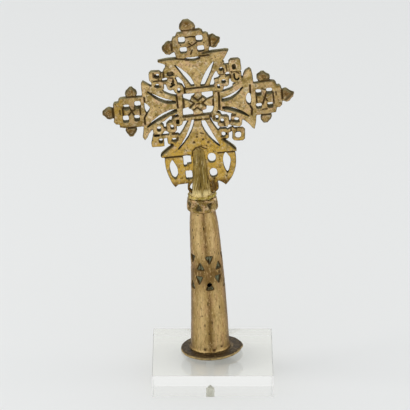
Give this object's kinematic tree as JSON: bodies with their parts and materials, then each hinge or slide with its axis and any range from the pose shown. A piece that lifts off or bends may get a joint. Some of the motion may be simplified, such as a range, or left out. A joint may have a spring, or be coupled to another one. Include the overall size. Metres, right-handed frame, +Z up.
{
  "type": "coptic cross",
  "caption": "Cast openwork hand cross on a hollow tapered socket shaft, standing over an upright rod on a clear square display block.",
  "frame": {"origin": "middle of the block's underside", "axes": "+Z up the cross, +X to the right as seen from the front, +Y to the back"},
  "size_m": [0.159, 0.1016, 0.3152],
  "materials": {
    "acrylic_block": "clear polished acrylic",
    "support_rod": "drawn",
    "foot_flange": "dark patina, pitted",
    "socket_tube": "worn cast brass with dark streaks",
    "collar_ring": "worn cast brass, green in the chip cuts",
    "braze_ring": "rough yellow braze",
    "neck_fork": "grooved, dark in the grooves",
    "cross_head": "worn cast brass with brown patina"
  },
  "bodies": {
    "stand": {"acrylic_block": "acrylic_block"},
    "rod": {"support_rod": "support_rod"},
    "cross": {"foot_flange": "foot_flange", "socket_tube": "socket_tube", "collar_ring": "collar_ring", "braze_ring": "braze_ring", "neck_fork": "neck_fork", "cross_head": "cross_head"}
  },
  "joints": [
    {"name": "cross_turn", "type": "hinge", "parent": "stand", "child": "rod", "pos_m": [-0.002, 0.0033, 0.01905], "axis": [0, 0, 1], "continuous": true},
    {"name": "cross_lift", "type": "slide", "parent": "rod", "child": "cross", "axis": [0, 0, 1], "range_m": [0, 0.12]}
  ]
}
